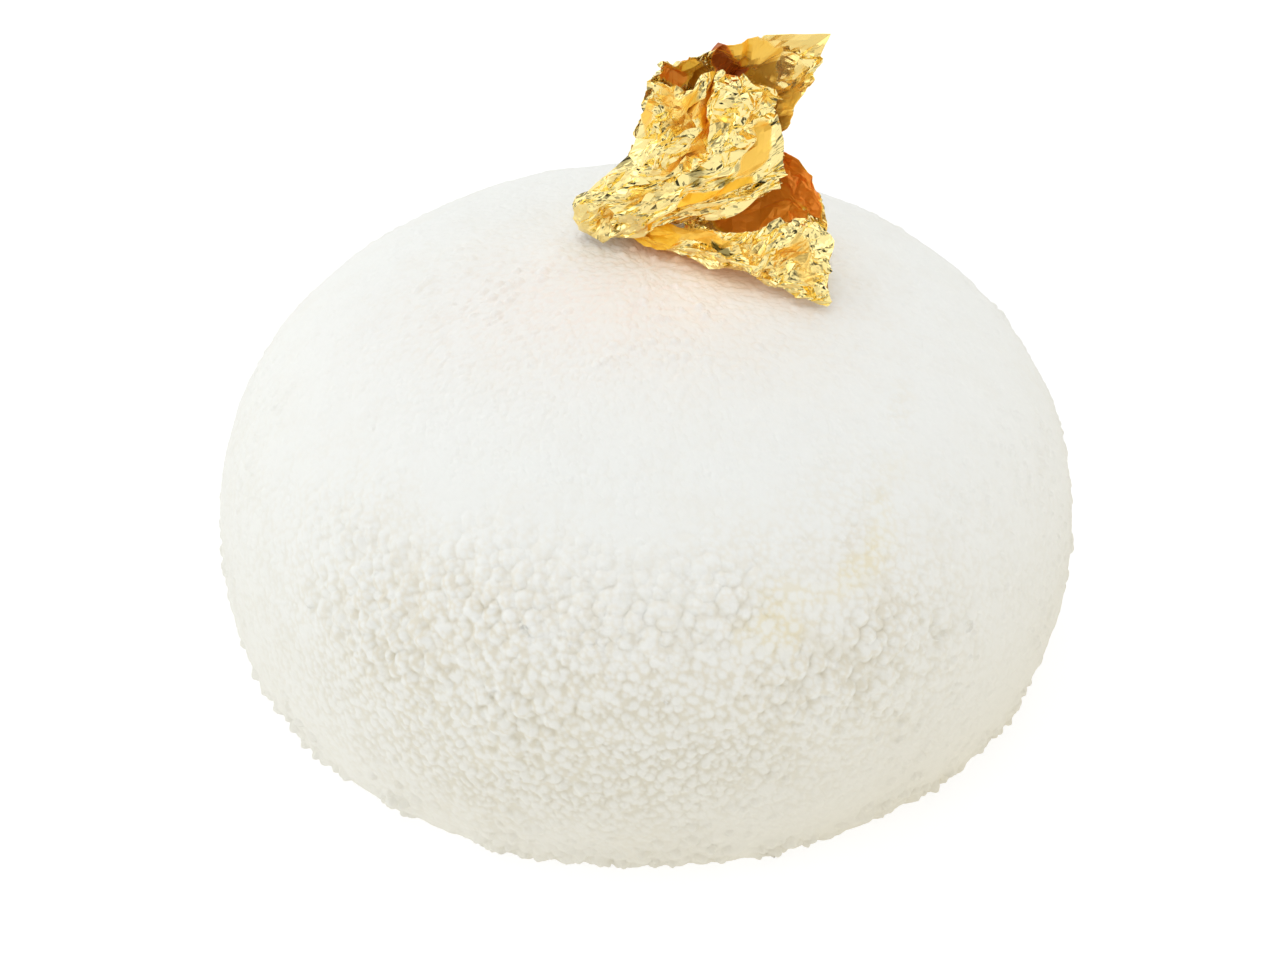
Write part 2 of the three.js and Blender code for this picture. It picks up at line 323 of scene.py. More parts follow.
def lattice_value(i, j, k, seed):
    """A fixed random number from 0 to 1 for each lattice point: the fraction of a large sine."""
    s = np.sin(i * 127.1 + j * 311.7 + k * 74.7 + seed * 19.19) * 43758.5453
    return s - np.floor(s)


def swell(points, seed):
    """Smooth noise from -1 to 1: random values on a unit lattice, joined by eased steps."""
    cell = np.floor(points)
    f = points - cell
    f = f * f * (3 - 2 * f)
    total = 0
    for corner in np.ndindex(2, 2, 2):
        weight = np.prod([f[..., a] if corner[a] else 1 - f[..., a] for a in range(3)], axis=0)
        total = total + weight * lattice_value(*(cell[..., a] + corner[a] for a in range(3)), seed)
    return 2 * total - 1


def outline_radius(height, radius):
    """The cake's radius at a height: the superellipse above or below the widest ring."""
    above = height >= WIDEST_HEIGHT
    reach = np.where(above, DOME_RISE, UNDERCUT_DEPTH)
    power = np.where(above, DOME_FULLNESS, UNDERCUT_FULLNESS)
    level = np.clip(np.abs(height - WIDEST_HEIGHT) / reach, 0, 1)
    return radius * (1 - level ** power) ** (1 / power)


def outline_walk(radius):
    """The outline from the pole down to the base, as radius and height against the distance walked.
    Steps follow the superellipse's own angle, so they stay short over the crown and the shoulder."""
    angle = np.linspace(0, np.pi / 2, 1500)
    dome_r = radius * np.sin(angle) ** (2 / DOME_FULLNESS)
    dome_z = WIDEST_HEIGHT + DOME_RISE * np.cos(angle) ** (2 / DOME_FULLNESS)
    low_z = np.linspace(WIDEST_HEIGHT, 0, 600)[1:]
    r = np.concatenate([dome_r, outline_radius(low_z, radius)])
    z = np.concatenate([dome_z, low_z])
    walked = np.concatenate([[0], np.cumsum(np.hypot(np.diff(r), np.diff(z)))])
    return walked, r, z


def coat_point(walked, turn, outline):
    """A point on the cake and its outward normal, from the distance walked down the outline and the
    turn about the upright axis."""
    along, r, z = outline
    slope_r = np.gradient(r, along)
    slope_z = np.gradient(z, along)
    rr, zz = np.interp(walked, along, r), np.interp(walked, along, z)
    tr, tz = np.interp(walked, along, slope_r), np.interp(walked, along, slope_z)
    size = np.hypot(tr, tz)
    out_r, out_z = -tz / size, tr / size
    point = np.stack([rr * np.cos(turn), rr * np.sin(turn), zz], -1)
    normal = np.stack([out_r * np.cos(turn), out_r * np.sin(turn), out_z], -1)
    return point, normal


def new_mesh(name, points, faces, smooth=True):
    """A mesh object at the origin from points in millimetres and one array of faces."""
    mesh = bpy.data.meshes.new(name)
    count, corners = faces.shape
    mesh.vertices.add(len(points))
    mesh.vertices.foreach_set("co", (points * MM).astype(np.float32).ravel())
    mesh.loops.add(count * corners)
    mesh.loops.foreach_set("vertex_index", faces.astype(np.int32).ravel())
    mesh.polygons.add(count)
    mesh.polygons.foreach_set("loop_start", np.arange(0, count * corners, corners, dtype=np.int32))
    mesh.polygons.foreach_set("use_smooth", np.full(count, smooth))
    mesh.update(calc_edges=True)
    piece = bpy.data.objects.new(name, mesh)
    bpy.context.scene.collection.objects.link(piece)
    return piece


def paint(piece, name, values):
    """Stores one number for each vertex under a name that a material can read."""
    layer = piece.data.attributes.new(name, "FLOAT", "POINT")
    layer.data.foreach_set("value", values.astype(np.float32).ravel())


def finish_piece(piece, material, node):
    """Gives a piece its material, hangs it on the root body, and hides the model's part that it stands for.
    """
    piece.data.materials.append(material)
    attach(piece, "root")
    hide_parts(node)


def add_node(tree, kind, settings=None, **inputs):
    """Adds a node of a kind, sets its own settings and its inputs, and joins the inputs that are
    given as another node's output. An input goes by its name, or by its number after an i."""
    node = tree.nodes.new(kind)
    for key, value in (settings or {}).items():
        setattr(node, key, value)
    for key, value in inputs.items():
        numbered = key[0] == "i" and key[1:].isdigit()
        socket = node.inputs[int(key[1:]) if numbered else key.replace("_", " ")]
        if isinstance(value, bpy.types.NodeSocket):
            tree.links.new(value, socket)
        else:
            socket.default_value = value
    return node


def new_material(name):
    """An empty node material with an output node."""
    material = bpy.data.materials.new(name)
    material.use_nodes = True
    material.node_tree.nodes.clear()
    return material, material.node_tree


def velvet_material(sizes):
    """White chocolate velvet: frozen droplets of cocoa butter and white chocolate, sprayed warm on a frozen
    cake. Each droplet is matt. Between them the gaps show creamier than their tops, partly the butter's own
    colour and partly painted shade; the painted shade grows the lower a place lies and is weaker on the
    left, where the light is stronger, and the gaps are yellow in the cracks on the right. Near the leaf the
    warm light that the gold throws is painted over both, as a blush and an orange glow."""
    material, tree = new_material("velvet_spray_white_chocolate")
    standing = add_node(tree, "ShaderNodeAttribute", {"attribute_name": "standing"})
    place = add_node(tree, "ShaderNodeTexCoord")
    mottle = add_node(tree, "ShaderNodeTexNoise", Vector=place.outputs["Object"], Scale=260.0, Detail=3.0)
    shift = add_node(tree, "ShaderNodeMapRange", Value=mottle.outputs["Fac"], From_Min=0.3, From_Max=0.7,
                     To_Min=-0.1, To_Max=0.1)
    uneven = add_node(tree, "ShaderNodeMath", {"operation": "ADD", "use_clamp": True},
                      i0=standing.outputs["Fac"], i1=shift.outputs["Result"])
    # Painted shade: towards the bottom the gaps turn to the low shade colour and the tops' share falls, to
    # a half on the left and to none on the right.
    parts = add_node(tree, "ShaderNodeSeparateXYZ", Vector=place.outputs["Object"])
    low = add_node(tree, "ShaderNodeMapRange", {"interpolation_type": "SMOOTHSTEP"},
                   Value=parts.outputs["Z"], From_Min=0.030, From_Max=0.012, To_Min=0.0, To_Max=1.0)
    least = add_node(tree, "ShaderNodeMapRange", Value=parts.outputs["X"], From_Min=-0.025, From_Max=0.02,
                     To_Min=0.5, To_Max=0.0)
    share = add_node(tree, "ShaderNodeMapRange", Value=parts.outputs["Z"], From_Min=0.030, From_Max=0.0,
                     To_Min=1.0, To_Max=least.outputs["Result"])
    level = add_node(tree, "ShaderNodeMath", {"operation": "MULTIPLY"}, i0=uneven.outputs["Value"],
                     i1=share.outputs["Result"])
    gap = add_node(tree, "ShaderNodeMix", {"data_type": "RGBA"}, Factor=low.outputs["Result"],
                   i6=(*sizes.gap_colour, 1), i7=(*sizes.low_shade_colour, 1))
    # Painted light: beside the leaf the gold's warm light is painted in full on the gaps and at 0.4 of the
    # blush on the tops.
    warm = add_node(tree, "ShaderNodeAttribute", {"attribute_name": "blush"})
    rich = add_node(tree, "ShaderNodeAttribute", {"attribute_name": "butter"})
    rich_gap = add_node(tree, "ShaderNodeMix", {"data_type": "RGBA"}, Factor=rich.outputs["Fac"],
                        i6=gap.outputs[2], i7=(*sizes.butter_colour, 1))
    warm_gap = add_node(tree, "ShaderNodeMix", {"data_type": "RGBA"}, Factor=warm.outputs["Fac"],
                        i6=rich_gap.outputs[2], i7=(*sizes.gold_light_colour, 1))
    half = add_node(tree, "ShaderNodeMath", {"operation": "MULTIPLY"}, i0=warm.outputs["Fac"], i1=0.4)
    warm_top = add_node(tree, "ShaderNodeMix", {"data_type": "RGBA"}, Factor=half.outputs["Value"],
                        i6=(*sizes.coat_colour, 1), i7=(*sizes.gold_light_colour, 1))
    colour = add_node(tree, "ShaderNodeMix", {"data_type": "RGBA"}, Factor=level.outputs["Value"],
                      i6=warm_gap.outputs[2], i7=warm_top.outputs[2])
    # Painted light: the orange light that the gold throws on the crown right under the leaf.
    orange = add_node(tree, "ShaderNodeAttribute", {"attribute_name": "glow"})
    lit = add_node(tree, "ShaderNodeMath", {"operation": "MULTIPLY"}, i0=orange.outputs["Fac"], i1=0.9)
    colour = add_node(tree, "ShaderNodeMix", {"data_type": "RGBA"}, Factor=lit.outputs["Value"],
                      i6=colour.outputs[2], i7=(*sizes.glow_colour, 1))
    frost = add_node(tree, "ShaderNodeTexNoise", Vector=place.outputs["Object"], Scale=5200.0, Detail=2.0)
    bump = add_node(tree, "ShaderNodeBump", Strength=0.4, Distance=0.00008, Height=frost.outputs["Fac"])
    skin = add_node(tree, "ShaderNodeBsdfPrincipled", Base_Color=colour.outputs[2], Roughness=0.8, IOR=1.45,
                    Normal=bump.outputs["Normal"])
    skin.inputs["Specular IOR Level"].default_value = 0.25
    add_node(tree, "ShaderNodeOutputMaterial", Surface=skin.outputs["BSDF"])
    return material


def gold_material(sizes):
    """Beaten gold leaf: metal, mirror-bright on every small facet, a little duller where the beating has
    grained it. Folds and pockets are painted warmer, a painted reflection of the gold in itself: amber,
    then orange, then a red-brown painted shade. They are rougher and less metallic, and the painted
    reflection shows fully only on the side that faces up and to the front. Creases below zero are painted
    dark, as painted shade."""
    material, tree = new_material("beaten_gold_leaf")
    place = add_node(tree, "ShaderNodeTexCoord")
    grain = add_node(tree, "ShaderNodeTexNoise", Vector=place.outputs["Object"], Scale=900.0, Detail=2.0)
    dull = add_node(tree, "ShaderNodeMapRange", Value=grain.outputs["Fac"], From_Min=0.35, From_Max=0.75,
                    To_Min=0.05, To_Max=0.14)
    painted = add_node(tree, "ShaderNodeAttribute", {"attribute_name": "warm"})
    # The painted reflection is weakened to 0.4 on facets that turn away from up and the front.
    side = add_node(tree, "ShaderNodeNewGeometry")
    toward = add_node(tree, "ShaderNodeVectorMath", {"operation": "DOT_PRODUCT"},
                      i0=side.outputs["True Normal"], i1=(0.0, -0.6, 0.8))
    facing = add_node(tree, "ShaderNodeMapRange", Value=toward.outputs["Value"], From_Min=-0.15,
                      From_Max=0.1, To_Min=0.4, To_Max=1.0)
    warm = add_node(tree, "ShaderNodeMath", {"operation": "MULTIPLY"}, i0=painted.outputs["Fac"],
                    i1=facing.outputs["Result"])
    half = add_node(tree, "ShaderNodeMapRange", Value=warm.outputs["Value"], From_Max=0.5)
    rest = add_node(tree, "ShaderNodeMapRange", Value=warm.outputs["Value"], From_Min=0.5)
    # Painted shade: creases below zero are mixed towards the dark crease colour.
    shut = add_node(tree, "ShaderNodeMapRange", Value=warm.outputs["Value"], From_Min=0.0, From_Max=-1.0)
    bright = add_node(tree, "ShaderNodeMix", {"data_type": "RGBA"}, Factor=shut.outputs["Result"],
                      i6=(*sizes.gold_colour, 1), i7=(*sizes.crease_colour, 1))
    amber = add_node(tree, "ShaderNodeMix", {"data_type": "RGBA"}, Factor=half.outputs["Result"],
                     i6=bright.outputs[2], i7=(*sizes.fold_colour, 1))
    pocket = add_node(tree, "ShaderNodeMix", {"data_type": "RGBA"}, Factor=rest.outputs["Result"],
                      i6=amber.outputs[2], i7=(*sizes.pocket_colour, 1))
    # Painted shade: warmth from 1 to 2 turns to the dark red-brown of the depths.
    deep = add_node(tree, "ShaderNodeMapRange", Value=warm.outputs["Value"], From_Min=1.0, From_Max=2.0)
    colour = add_node(tree, "ShaderNodeMix", {"data_type": "RGBA"}, Factor=deep.outputs["Result"],
                      i6=pocket.outputs[2], i7=(*sizes.deep_shade_colour, 1))
    bare = add_node(tree, "ShaderNodeMapRange", Value=warm.outputs["Value"], From_Max=0.45, To_Min=1.0,
                    To_Max=0.4)
    soft = add_node(tree, "ShaderNodeMapRange", Value=warm.outputs["Value"], From_Max=0.5, To_Min=0.0,
                    To_Max=0.3)
    spread = add_node(tree, "ShaderNodeMath", {"operation": "ADD"}, i0=dull.outputs["Result"],
                      i1=soft.outputs["Result"])
    metal = add_node(tree, "ShaderNodeBsdfPrincipled", Metallic=bare.outputs["Result"],
                     Roughness=spread.outputs["Value"], Base_Color=colour.outputs[2])
    add_node(tree, "ShaderNodeOutputMaterial", Surface=metal.outputs["BSDF"])
    return material


def turn_matrix(about_x, about_y, about_z):
    """The matrix of three turns, one after the other, about the x, y and z axes."""
    matrix = np.eye(3)
    for axis, angle in enumerate((about_x, about_y, about_z)):
        turn = np.eye(3)
        a, b = (axis + 1) % 3, (axis + 2) % 3
        turn[a, a] = turn[b, b] = math.cos(angle)
        turn[a, b], turn[b, a] = -math.sin(angle), math.sin(angle)
        matrix = turn @ matrix
    return matrix


SKEW = turn_matrix(*LATTICE_TURNS)


def fused_beads(points, normal, seed, smallest, spread):
    """The relief of beads strewn over a surface and fused: one bead for each cell of a unit lattice
    whose random centre lies within half a cell of the surface. Its top is a parabola over the flat
    distance from that centre, and the value is the height of the highest bead over a point."""
    points, normal = points @ SKEW, normal @ SKEW
    cell = np.floor(points)
    inside = points - cell
    best = np.zeros(points.shape[:-1])
    for step in np.ndindex(3, 3, 3):
        near = [cell[..., a] + step[a] - 1 for a in range(3)]
        away = [step[a] - 0.85 + 0.7 * lattice_value(*near, seed + a) - inside[..., a] for a in range(3)]
        depth = sum(away[a] * normal[..., a] for a in range(3))
        flat = sum(each ** 2 for each in away) - depth ** 2
        bead = smallest + spread * lattice_value(*near, seed + 3)
        best = np.where(np.abs(depth) < 0.5, np.maximum(best, bead - flat / bead), best)
    return best


def band(value, low, high, soft):
    """One between a low and a high value, falling to zero over a soft distance beyond each."""
    return np.clip((value - low) / soft + 1, 0, 1) * np.clip((high - value) / soft + 1, 0, 1)


def beads(kind, point, normal):
    """The relief of one kind of fused beads over the coat, in cells of its lattice."""
    cell, seed, smallest, spread = BEADS[kind]
    return fused_beads(point / cell, normal, seed, smallest, spread)


def varied(kind, point):
    """One kind of swell over the coat, from -1 to 1."""
    length, seed = SWELLS[kind]
    return swell(point / length, seed)


def patchy(kind, point, middle, depth, least=0):
    """A share that one kind of swell moves up and down from a middle, kept from a least value to 1."""
    return np.clip(middle + depth * varied(kind, point), least, 1)


def coat_relief(point, normal):
    """How far the coat stands off the smooth outline, and how high each place stands on its bead from 0 to
    1; places that stand low get the gaps' colour, which is partly painted shade.

    The relief is the sum of two slow swells and the grain. The grain is the higher of beads and fine
    beads, weighted by a strength that is greatest in the grain's zone at the front and in the cracked
    patch. Clumps rise out of it where the spray hit hardest, along the lumpy shoulder and at the foot,
    and soft bumps along the rim of the base. Fine beads are added on the crown, stray droplets nearly
    everywhere, and beads and crumbs near the leaf.

    A place stands high where its grain is high for the strength there. The valleys between the shoulder's
    lumps, the strong grain and the skirts of the crumbs near the leaf take it down, so that painted shade
    lies in them."""
    side, height = point[..., 0], point[..., 2]
    front = np.clip(-point[..., 1] / 26, 0, 1)
    narrow = front * np.exp(-((side + 6) / 18) ** 2)
    wide = front * np.exp(-(np.clip(np.abs(side + 1.5) - 17.5, 0, None) / 8) ** 2)
    grainy = narrow + (wide - narrow) * np.clip((height - 8) / 8, 0, 1)
    near_leaf = blush(point)

    clump = beads("clump", point, normal)
    bead = beads("bead", point, normal)
    fine = beads("fine", point, normal)
    stray = 0.6 * beads("stray", point, normal) ** 0.6
    crumb = beads("crumb", point, normal)

    slow = 0.16 * varied("body", point) + 0.09 * varied("dents", point)
    spray = patchy("spray", point, 0.1 + 0.6 * front, 0.9, 0.05) * band(height, *ZONES["spray"])
    foot = np.clip((7 - height) / 4, 0, 1) * patchy("foot", point, 0.5, 1.3)
    rim = np.clip((3.4 - height) / 1.6, 0, 1) * patchy("rim", point, 0.55, 1.1, 0.08)
    crown = np.clip((height - 27) / 4, 0, 1)
    lumpy = band(height, *ZONES["lumps"]) * grainy * patchy("lumps", point, 0.7, 0.9)
    lone = patchy("lone", point, 0.4, 0.8) * (0.3 + 0.7 * band(height, *ZONES["lone"]))

    level = height + 2.5 * varied("level", point)
    patch = 0.9 * cracked_patch(point, 4.5) * patchy("patch", point, 0.5, 1.1)
    strength = (0.11 + 0.8 * band(level, *ZONES["grain"])) * (0.15 + 0.85 * grainy)
    strength = np.maximum(strength, 0.9 * patch)
    spray = np.maximum(spray * (0.2 + 0.8 * grainy), 0.8 * patch)
    coarse = np.maximum(band(height, *ZONES["coarse"]), patch)

    relief = np.maximum(0.12 * bead + 0.3 * strength * coarse * bead, (0.09 + 0.19 * strength) * fine)
    top = np.clip((relief / (0.08 + 0.3 * strength) - 0.1) / 0.4, 0, 1)
    # Painted shade: the valleys between the shoulder's lumps are given the gaps' colour.
    top = top * (1 - 0.6 * lumpy * (1 - np.clip(clump / 0.4, 0, 1)))
    relief = np.maximum(relief * (1 - 0.3 * lumpy), (0.8 * spray + 0.25 * lumpy + 0.5 * foot) * clump)
    relief = relief + 0.09 * strength * (bead + fine)
    relief = np.maximum(relief, rim * (0.7 * clump + 0.3 * bead)) + 0.05 * crown * fine
    relief = relief + (1.2 * lone + 1.2 * foot) * stray
    relief = relief + near_leaf * (0.05 * bead + 1.3 * crumb * patchy("crumbs", point, 0.5, 1))

    # Painted shade: the skirts of the crumbs near the leaf are given the gaps' colour, warmed by the
    # painted gold light.
    skirt = np.clip(crumb / 0.05, 0, 1) * np.clip((0.32 - crumb) / 0.15, 0, 1)
    standing = 1 - np.maximum(strength, 0.6 * near_leaf) * (1 - top)
    return slow + relief - COAT_SINK, standing * (1 - 0.5 * near_leaf * skirt)


def blush(point):
    """How near a place is to the leaf's foot, from 0 to 1: a bell curve round the blush's middle, on the
    crown only. The crown is rougher there, and the warm light that the gold throws on it is painted there."""
    side = (point[..., 0] - BLUSH_MIDDLE[0]) / BLUSH_REACH[0]
    back = (point[..., 1] - BLUSH_MIDDLE[1]) / BLUSH_REACH[1]
    return np.exp(-side ** 2 - back ** 2) * (point[..., 2] > PAINTED_ABOVE)


def cracked_patch(point, reach):
    """How near a place is to the line on the right of the front along which the coat broke into lumps,
    from 0 to 1. The line runs level and then climbs, and the patch fades over a reach in millimetres."""
    side, back, height = point[..., 0], point[..., 1], point[..., 2]
    away = (height - CRACK_HEIGHT - CRACK_CLIMB * np.clip(side - CRACK_BEND, 0, None)) / reach
    return np.exp(-away ** 2) * band(side, *CRACK_SIDES) * np.clip(-back / 12, 0, 1)


def butter(point):
    """How yellow the gaps are, from 0 to 1: cocoa butter shows here and there in the cracked patch."""
    return 0.75 * cracked_patch(point, 2.4) * patchy("butter", point, 0.5, 1.5)


def leaf_glow(point):
    """How near a place is to the straight line along the leaf's front foot, from 0 to 1. The gold
    throws an orange light there, strongest at the left end of the line."""
    (start_x, start_y), (end_x, end_y) = GLOW_LINE
    run_x, run_y = end_x - start_x, end_y - start_y
    from_x, from_y = point[..., 0] - start_x, point[..., 1] - start_y
    share = np.clip((from_x * run_x + from_y * run_y) / (run_x ** 2 + run_y ** 2), 0, 1)
    away = np.hypot(from_x - share * run_x, from_y - share * run_y)
    return np.exp(-(away / GLOW_REACH) ** 2) * (1 - 0.8 * share) * (point[..., 2] > PAINTED_ABOVE)


def grid_normals(points):
    """Outward normals on a grid of rings and spokes: the cross product of the steps down the outline
    and round the ring."""
    down = np.gradient(points, axis=0)
    round_ring = np.roll(points, -1, axis=1) - np.roll(points, 1, axis=1)
    normal = np.cross(down, round_ring)
    return normal / (np.linalg.norm(normal, axis=-1, keepdims=True) + 1e-12)


def make_coat(sizes, material):
    """The cake and its coat: the outline turned about the upright axis and pushed along its normal by the
    coat's relief. Spokes stand closest at the front and rings lie closest below the crown, where the beads
    are. It is cut level into slices, each closed, because one mesh of it all would be too large. Each slice
    carries what its material reads: how high a place stands, which sets how much painted shade it gets, and
    how much painted gold light, as blush and glow, and butter it has."""
    outline = outline_walk(sizes.radius / MM - OUTLINE_INSET)
    knees = [0, CROWN_RING_SHARE, 1]
    walked = np.interp(np.linspace(0, 1, COAT_RINGS + 1), knees, [POLE_GAP, CROWN_WALK, outline[0][-1]])
    turn = np.linspace(0, 2 * np.pi, COAT_SPOKES, endpoint=False)
    turn = turn - FRONT_CROWDING * np.cos(turn)
    walked, turn = np.meshgrid(walked, turn, indexing="ij")
    point, normal = coat_point(walked, turn, outline)
    push, standing = coat_relief(point, normal)
    point = point + normal * push[..., None]
    point[..., 2] = np.maximum(point[..., 2], 0)
    point[-1, :, 2] = 0
    shade = GRID_SHADE * grid_normals(point) + SMOOTH_SHADE * normal
    for k, name in enumerate(SLICES):
        first, last = k * COAT_RINGS // len(SLICES), (k + 1) * COAT_RINGS // len(SLICES)
        part = slice(first, last + 1)
        lid = [0, 0, 0.5 * point[first, :, 2].mean() if k else point[0, :, 2].mean()]
        floor = [0, 0, 0.5 * point[last, :, 2].mean()]
        slab, slab_normal = closed_slab(point[part], shade[part], lid, floor)
        piece = new_mesh("velvet_" + name, *slab)
        piece.data.normals_split_custom_set_from_vertices(slab_normal)
        paint(piece, "standing", np.concatenate([standing[part].ravel(), [1, 0]]))
        for layer, measure in (("blush", blush), ("glow", leaf_glow), ("butter", butter)):
            paint(piece, layer, np.concatenate([measure(point[part]).ravel(), [0, 0]]))
        finish_piece(piece, material, "mousse_cake")


def closed_slab(rows, normals, lid, floor):
    """A stack of rings closed at each end by a fan to a point, the lid above and the floor below: its
    points and triangles, and a normal for every point."""
    count, spokes = rows.shape[:2]
    points = np.concatenate([rows.reshape(-1, 3), [lid], [floor]])
    index = np.arange(count * spokes).reshape(count, spokes)
    after = np.roll(index, -1, axis=1)
    quads = np.stack([index[:-1], index[1:], after[1:], after[:-1]], -1).reshape(-1, 4)
    top = np.stack([np.full(spokes, count * spokes), index[0], after[0]], -1)
    under = np.stack([np.full(spokes, count * spokes + 1), after[-1], index[-1]], -1)
    faces = np.concatenate([quads[:, [0, 1, 2]], quads[:, [0, 2, 3]], top, under])
    return (points, faces), np.concatenate([normals.reshape(-1, 3), [[0, 0, 1]], [[0, 0, -1]]])


def loft(curves, u, v):
    """A surface through edge curves. Along each curve, and then across the curves, the point
    follows the Catmull-Rom spline, which passes through every control point."""
    grid = np.array(curves, float)
    across = spline(grid.transpose(1, 0, 2), u)
    return spline_each(across, v)


def spline_weights(t, count):
    """For each place t from 0 to 1 on a spline of count points, the number of the segment and the
    four Catmull-Rom weights of the points round it."""
    place = np.clip(t, 0, 1) * (count - 1)
    part = np.minimum(np.floor(place).astype(int), count - 2)
    x = place - part
    weights = np.stack([-x ** 3 + 2 * x ** 2 - x, 3 * x ** 3 - 5 * x ** 2 + 2,
                        -3 * x ** 3 + 4 * x ** 2 + x, x ** 3 - x ** 2], -1) / 2
    return part, weights


def padded(points):
    """The control points with one more at each end, set straight on from the last two."""
    first = 2 * points[:1] - points[1:2]
    last = 2 * points[-1:] - points[-2:-1]
    return np.concatenate([first, points, last])


def spline(points, t):
    """Spline points at every t, along the first axis of the control points."""
    part, weights = spline_weights(t, len(points))
    held = padded(points)
    return sum(weights[..., k, None, None] * held[part + k] for k in range(4))


def spline_each(rows, t):
    """For each row of control points and its own t, the spline point."""
    count = rows.shape[-2]
    part, weights = spline_weights(t, count)
    moved = np.moveaxis(rows, -2, 0)
    held = np.moveaxis(padded(moved), 0, -2)
    chosen = [np.take_along_axis(held, (part + k)[..., None, None], axis=-2)[..., 0, :] for k in range(4)]
    return sum(weights[..., k, None] * chosen[k] for k in range(4))


def mark_reach(mark, p, q, wide, tall):
    """How far a sheet's points lie from a mark, in half widths: the distance to the straight line
    between its ends."""
    ax, ay = mark.start[0] * wide, mark.start[1] * tall
    bx, by = mark.end[0] * wide, mark.end[1] * tall
    dx, dy = bx - ax, by - ay
    share = np.clip(((p - ax) * dx + (q - ay) * dy) / max(dx * dx + dy * dy, 1e-6), 0, 1)
    return np.hypot(p - ax - share * dx, q - ay - share * dy) / mark.half_width


def halved(sheet):
    """A sheet of points with twice as many cells each way: a new point halfway along every edge and
    every diagonal. Also returns which points are new."""
    rows, columns, channels = sheet.shape
    fine = np.empty((2 * rows - 1, 2 * columns - 1, channels))
    fine[::2, ::2] = sheet
    fine[::2, 1::2] = (sheet[:, :-1] + sheet[:, 1:]) / 2
    fine[1::2, ::2] = (sheet[:-1] + sheet[1:]) / 2
    fine[1::2, 1::2] = (sheet[:-1, :-1] + sheet[1:, 1:]) / 2
    new = np.ones(fine.shape[:2], bool)
    new[::2, ::2] = False
    return fine, new


def lobe_normals(curves, u, v):
    """The unit normals of a smooth lobe, from the slopes of its loft both ways."""
    step = 0.01
    slope_u = loft(curves, np.minimum(u + step, 1), v) - loft(curves, np.maximum(u - step, 0), v)
    slope_v = loft(curves, u, np.minimum(v + step, 1)) - loft(curves, u, np.maximum(v - step, 0))
    normal = np.cross(slope_u, slope_v)
    return normal / (np.linalg.norm(normal, axis=-1, keepdims=True) + 1e-12)


def foil_lobe(curves, marks, facet, seed):
    """One lobe of the leaf: its points, triangles, and how warm each point is. The loft is sampled at
    the corners of the widest facets, and every edge is then halved four times. Each new point is
    moved by a random vector, smaller each time, so every facet keeps straight, sharp creases. The
    lobe's marks damp that crumple and push the sheet in or out, straight to nothing at their edge.
    They also say how much painted reflection, or below zero painted shade, it has, and places that lie
    behind the smooth lobe get at least a little painted reflection."""
    rng = np.random.default_rng(seed)
    grid = np.array(curves, float)
    wide = np.linalg.norm(np.diff(grid, axis=1), axis=-1).sum(1).max()
    tall = np.linalg.norm(np.diff(grid, axis=0), axis=-1).sum(0).max()
    columns, rows = round(wide / facet[0]), round(tall / facet[1])
    u, v = np.meshgrid(np.linspace(0, 1, columns + 1), np.linspace(0, 1, rows + 1))
    u = u + rng.uniform(-CORNER_STRAY, CORNER_STRAY, u.shape) / columns * (u > 0) * (u < 1)
    v = v + rng.uniform(-CORNER_STRAY, CORNER_STRAY, v.shape) / rows * (v > 0) * (v < 1)
    inner = (u > 0) & (u < 1) & (v > 0) & (v < 1)
    smooth = np.zeros(u.shape)
    for mark in marks:
        reach = mark_reach(mark, u * wide, v * tall, wide, tall)
        smooth = np.maximum(smooth, mark.smooth * np.clip(1.6 - reach, 0, 1))
    height = FOLD_DEPTH * rng.uniform(-1, 1, u.shape) * (0.3 + 0.7 * inner) * (1 - smooth)
    points = loft(curves, u, v) + lobe_normals(curves, u, v) * height[..., None]
    sheet = np.concatenate([points, u[..., None], v[..., None]], -1)
    for level, depth in enumerate(CRUMPLE_DEPTHS):
        sheet, new = halved(sheet)
        u, v = sheet[..., 3], sheet[..., 4]
        rough, warm, push = np.ones(u.shape), np.zeros(u.shape), np.zeros(u.shape)
        for mark in marks:
            reach = mark_reach(mark, u * wide, v * tall, wide, tall)
            inside = np.clip((1.08 - reach) / 0.16, 0, 1)
            push += mark.push * np.clip(1 - reach, 0, 1)
            rough *= 1 - mark.smooth * inside
            warm += (mark.warm - warm) * inside
        shake = rng.uniform(-1, 1, (*u.shape, 3)) * (depth * rough * new)[..., None]
        sheet[..., :3] += shake
        if level == 1:
            sheet[..., :3] += lobe_normals(curves, u, v) * push[..., None]
    height = np.einsum("rci,rci->rc", sheet[..., :3] - loft(curves, u, v), lobe_normals(curves, u, v))
    # Painted reflection: hollows that lie behind the smooth lobe get at least a little warmth; painted dark
    # creases stay as they are.
    warm = np.where(warm < 0, warm, np.maximum(warm, 0.30 * np.clip(-height - 0.1, 0, 1)))
    index = np.arange(u.size).reshape(u.shape)
    quads = (index[:-1, :-1], index[:-1, 1:], index[1:, 1:], index[1:, :-1])
    a, b, c, d = (corner.ravel() for corner in quads)
    faces = np.concatenate([np.stack([a, b, c], -1), np.stack([a, c, d], -1)])
    return sheet[..., :3].reshape(-1, 3), faces, warm.ravel()


